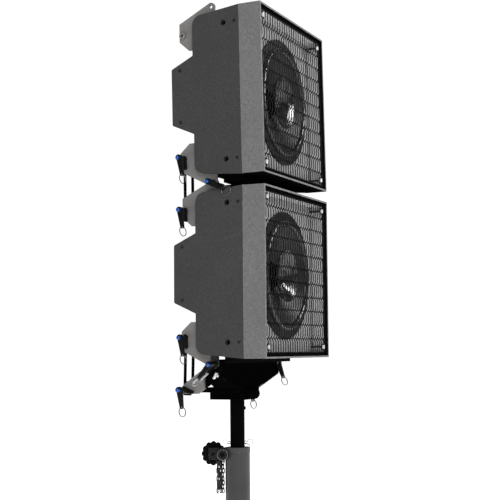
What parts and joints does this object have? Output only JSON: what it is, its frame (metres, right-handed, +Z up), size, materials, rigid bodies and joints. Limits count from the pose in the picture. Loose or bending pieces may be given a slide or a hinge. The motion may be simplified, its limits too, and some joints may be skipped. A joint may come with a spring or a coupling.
{
  "type": "line array speaker",
  "caption": "Coaxial line array cabinets joined by quick-release splay rigging on a pole base, clamped in the upper section of a speaker pole.",
  "frame": {"origin": "centre of the outer pole tube's lower end", "axes": "+Z up along the pole, the cabinets' fronts face -Y, +X to the right seen from the front"},
  "size_m": [0.4358, 0.2566, 1.2399],
  "materials": {
    "cabinet_black": "black textured paint on plywood",
    "panel_paint": "dark grey fine textured paint on plywood",
    "frame_paint": "mid grey fine textured paint",
    "grille_paint": "grey powder coat on perforated steel",
    "bright_steel": "bright zinc-plated steel",
    "driver_metal": "black coated cast basket and steel motor",
    "cone_paper": "black treated paper",
    "surround_rubber": "black rubberised cloth",
    "horn_plastic": "black moulded plastic",
    "rig_steel": "grey coated steel plate",
    "panel_metal": "black coated aluminium plate",
    "pin_black": "black handle on a steel pin",
    "button_blue": "blue anodised push button",
    "link_black": "black coated steel plate",
    "base_black": "black powder-coated steel",
    "pole_black": "black coated steel tube",
    "tube_paint": "dark grey painted steel tube",
    "collar_black": "black painted casting",
    "knob_plastic": "black moulded knob",
    "chain_steel": "dark zinc-plated chain"
  },
  "bodies": {
    "mast": {"outer_tube": "tube_paint", "clamp_collar": "collar_black", "safety_chain": "chain_steel"},
    "clamp_knob": {"clamp_knob": "knob_plastic"},
    "pole": {"inner_pole": "pole_black"},
    "safety_pin": {"safety_pin": "bright_steel"},
    "base": {"base_frame": "base_black", "pole_adapter": "base_black", "stop_bars": "rig_steel"},
    "wing_screw": {"wing_screw": "bright_steel"},
    "cabinet_lower": {"lower_shell": "cabinet_black", "lower_side_panels": "panel_paint", "lower_front_frame": "frame_paint", "lower_baffle": "cabinet_black", "lower_grille": "grille_paint", "lower_fasteners": "bright_steel", "lower_woofer_chassis": "driver_metal", "lower_woofer_suspension": "surround_rubber", "lower_hf_horn": "horn_plastic", "lower_rig_plates": "rig_steel", "lower_rear_panel": "panel_metal"},
    "cone_lower": {"lower_woofer_cone": "cone_paper"},
    "cabinet_upper": {"upper_shell": "cabinet_black", "upper_side_panels": "panel_paint", "upper_front_frame": "frame_paint", "upper_baffle": "cabinet_black", "upper_grille": "grille_paint", "upper_fasteners": "bright_steel", "upper_woofer_chassis": "driver_metal", "upper_woofer_suspension": "surround_rubber", "upper_hf_horn": "horn_plastic", "upper_rig_plates": "rig_steel", "upper_rear_panel": "panel_metal"},
    "cone_upper": {"upper_woofer_cone": "cone_paper"},
    "links_mid": {"splay_links_mid": "link_black"},
    "links_base": {"splay_links_base": "link_black"},
    "mid_lug_pin_left": {"mid_lug_pin_left": "pin_black"},
    "mid_lug_pin_left_button": {"mid_lug_pin_left_button": "button_blue"},
    "mid_upper_pin_left": {"mid_upper_pin_left": "pin_black"},
    "mid_upper_pin_left_button": {"mid_upper_pin_left_button": "button_blue"},
    "mid_lower_pin_left": {"mid_lower_pin_left": "pin_black"},
    "mid_lower_pin_left_button": {"mid_lower_pin_left_button": "button_blue"},
    "base_lug_pin_left": {"base_lug_pin_left": "pin_black"},
    "base_lug_pin_left_button": {"base_lug_pin_left_button": "button_blue"},
    "base_upper_pin_left": {"base_upper_pin_left": "pin_black"},
    "base_upper_pin_left_button": {"base_upper_pin_left_button": "button_blue"},
    "base_lower_pin_left": {"base_lower_pin_left": "pin_black"},
    "base_lower_pin_left_button": {"base_lower_pin_left_button": "button_blue"},
    "mid_lug_pin_right": {"mid_lug_pin_right": "pin_black"},
    "mid_lug_pin_right_button": {"mid_lug_pin_right_button": "button_blue"},
    "mid_upper_pin_right": {"mid_upper_pin_right": "pin_black"},
    "mid_upper_pin_right_button": {"mid_upper_pin_right_button": "button_blue"},
    "mid_lower_pin_right": {"mid_lower_pin_right": "pin_black"},
    "mid_lower_pin_right_button": {"mid_lower_pin_right_button": "button_blue"},
    "base_lug_pin_right": {"base_lug_pin_right": "pin_black"},
    "base_lug_pin_right_button": {"base_lug_pin_right_button": "button_blue"},
    "base_upper_pin_right": {"base_upper_pin_right": "pin_black"},
    "base_upper_pin_right_button": {"base_upper_pin_right_button": "button_blue"},
    "base_lower_pin_right": {"base_lower_pin_right": "pin_black"},
    "base_lower_pin_right_button": {"base_lower_pin_right_button": "button_blue"}
  },
  "joints": [
    {"name": "pole_height", "type": "slide", "parent": "mast", "child": "pole", "axis": [0, 0, 1], "range_m": [-0.002, 0.05]},
    {"name": "clamp_knob_turn", "type": "hinge", "parent": "mast", "child": "clamp_knob", "pos_m": [-0.024, 0.0539, 0.172], "axis": [-0.9135, -0.4067, 0], "range_deg": [-180, 180]},
    {"name": "safety_pin_pull", "type": "slide", "parent": "pole", "child": "safety_pin", "axis": [0.4067, -0.9135, 0], "range_m": [0, 0.06]},
    {"name": "base_turn", "type": "hinge", "parent": "pole", "child": "base", "pos_m": [0, 0, 0.36], "axis": [0, 0, 1], "range_deg": [-170, 170]},
    {"name": "wing_screw_turn", "type": "hinge", "parent": "base", "child": "wing_screw", "pos_m": [-0.178, -0.029, 0.364], "axis": [-1, 0, 0], "range_deg": [-180, 180]},
    {"name": "base_tilt", "type": "hinge", "parent": "base", "child": "cabinet_lower", "pos_m": [0, -0.024, 0.39], "axis": [1, 0, 0], "range_deg": [-5, 3]},
    {"name": "mid_splay", "type": "hinge", "parent": "cabinet_lower", "child": "cabinet_upper", "pos_m": [0, -0.024, 0.81], "axis": [1, 0, 0], "range_deg": [-7, 1]},
    {"name": "base_link_swing", "type": "hinge", "parent": "cabinet_lower", "child": "links_base", "pos_m": [0, 0.05, 0.452], "axis": [1, 0, 0], "range_deg": [-1.6, 2.6]},
    {"name": "mid_link_swing", "type": "hinge", "parent": "cabinet_upper", "child": "links_mid", "pos_m": [0, 0.05107, 0.8707], "axis": [1, 0, 0], "range_deg": [-0.6, 3.6]},
    {"name": "lower_cone_travel", "type": "slide", "parent": "cabinet_lower", "child": "cone_lower", "axis": [0, -1, 0], "range_m": [-0.004, 0.004], "stiffness_N_per_m": 2000},
    {"name": "upper_cone_travel", "type": "slide", "parent": "cabinet_upper", "child": "cone_upper", "axis": [0, -0.9998, 0.0175], "range_m": [-0.004, 0.004], "stiffness_N_per_m": 2000},
    {"name": "mid_lug_pin_left_pull", "type": "slide", "parent": "cabinet_lower", "child": "mid_lug_pin_left", "axis": [-1, 0, 0], "range_m": [0, 0.06]},
    {"name": "mid_lug_pin_left_press", "type": "slide", "parent": "mid_lug_pin_left", "child": "mid_lug_pin_left_button", "axis": [1, 0, 0], "range_m": [0, 0.003], "stiffness_N_per_m": 300, "springref_m": -0.003},
    {"name": "mid_upper_pin_left_pull", "type": "slide", "parent": "cabinet_upper", "child": "mid_upper_pin_left", "axis": [-1, 0, 0], "range_m": [0, 0.06]},
    {"name": "mid_upper_pin_left_press", "type": "slide", "parent": "mid_upper_pin_left", "child": "mid_upper_pin_left_button", "axis": [1, 0, 0], "range_m": [0, 0.003], "stiffness_N_per_m": 300, "springref_m": -0.003},
    {"name": "mid_lower_pin_left_pull", "type": "slide", "parent": "cabinet_lower", "child": "mid_lower_pin_left", "axis": [-1, 0, 0], "range_m": [0, 0.06]},
    {"name": "mid_lower_pin_left_press", "type": "slide", "parent": "mid_lower_pin_left", "child": "mid_lower_pin_left_button", "axis": [1, 0, 0], "range_m": [0, 0.003], "stiffness_N_per_m": 300, "springref_m": -0.003},
    {"name": "base_lug_pin_left_pull", "type": "slide", "parent": "base", "child": "base_lug_pin_left", "axis": [-1, 0, 0], "range_m": [0, 0.06]},
    {"name": "base_lug_pin_left_press", "type": "slide", "parent": "base_lug_pin_left", "child": "base_lug_pin_left_button", "axis": [1, 0, 0], "range_m": [0, 0.003], "stiffness_N_per_m": 300, "springref_m": -0.003},
    {"name": "base_upper_pin_left_pull", "type": "slide", "parent": "cabinet_lower", "child": "base_upper_pin_left", "axis": [-1, 0, 0], "range_m": [0, 0.06]},
    {"name": "base_upper_pin_left_press", "type": "slide", "parent": "base_upper_pin_left", "child": "base_upper_pin_left_button", "axis": [1, 0, 0], "range_m": [0, 0.003], "stiffness_N_per_m": 300, "springref_m": -0.003},
    {"name": "base_lower_pin_left_pull", "type": "slide", "parent": "base", "child": "base_lower_pin_left", "axis": [-1, 0, 0], "range_m": [0, 0.06]},
    {"name": "base_lower_pin_left_press", "type": "slide", "parent": "base_lower_pin_left", "child": "base_lower_pin_left_button", "axis": [1, 0, 0], "range_m": [0, 0.003], "stiffness_N_per_m": 300, "springref_m": -0.003},
    {"name": "mid_lug_pin_right_pull", "type": "slide", "parent": "cabinet_lower", "child": "mid_lug_pin_right", "axis": [1, 0, 0], "range_m": [0, 0.06]},
    {"name": "mid_lug_pin_right_press", "type": "slide", "parent": "mid_lug_pin_right", "child": "mid_lug_pin_right_button", "axis": [-1, 0, 0], "range_m": [0, 0.003], "stiffness_N_per_m": 300, "springref_m": -0.003},
    {"name": "mid_upper_pin_right_pull", "type": "slide", "parent": "cabinet_upper", "child": "mid_upper_pin_right", "axis": [1, 0, 0], "range_m": [0, 0.06]},
    {"name": "mid_upper_pin_right_press", "type": "slide", "parent": "mid_upper_pin_right", "child": "mid_upper_pin_right_button", "axis": [-1, 0, 0], "range_m": [0, 0.003], "stiffness_N_per_m": 300, "springref_m": -0.003},
    {"name": "mid_lower_pin_right_pull", "type": "slide", "parent": "cabinet_lower", "child": "mid_lower_pin_right", "axis": [1, 0, 0], "range_m": [0, 0.06]},
    {"name": "mid_lower_pin_right_press", "type": "slide", "parent": "mid_lower_pin_right", "child": "mid_lower_pin_right_button", "axis": [-1, 0, 0], "range_m": [0, 0.003], "stiffness_N_per_m": 300, "springref_m": -0.003},
    {"name": "base_lug_pin_right_pull", "type": "slide", "parent": "base", "child": "base_lug_pin_right", "axis": [1, 0, 0], "range_m": [0, 0.06]},
    {"name": "base_lug_pin_right_press", "type": "slide", "parent": "base_lug_pin_right", "child": "base_lug_pin_right_button", "axis": [-1, 0, 0], "range_m": [0, 0.003], "stiffness_N_per_m": 300, "springref_m": -0.003},
    {"name": "base_upper_pin_right_pull", "type": "slide", "parent": "cabinet_lower", "child": "base_upper_pin_right", "axis": [1, 0, 0], "range_m": [0, 0.06]},
    {"name": "base_upper_pin_right_press", "type": "slide", "parent": "base_upper_pin_right", "child": "base_upper_pin_right_button", "axis": [-1, 0, 0], "range_m": [0, 0.003], "stiffness_N_per_m": 300, "springref_m": -0.003},
    {"name": "base_lower_pin_right_pull", "type": "slide", "parent": "base", "child": "base_lower_pin_right", "axis": [1, 0, 0], "range_m": [0, 0.06]},
    {"name": "base_lower_pin_right_press", "type": "slide", "parent": "base_lower_pin_right", "child": "base_lower_pin_right_button", "axis": [-1, 0, 0], "range_m": [0, 0.003], "stiffness_N_per_m": 300, "springref_m": -0.003}
  ],
  "couplings": [
    {"joint": "base_link_swing", "follows": "base_tilt", "ratio": -0.5},
    {"joint": "mid_link_swing", "follows": "mid_splay", "ratio": -0.5}
  ]
}
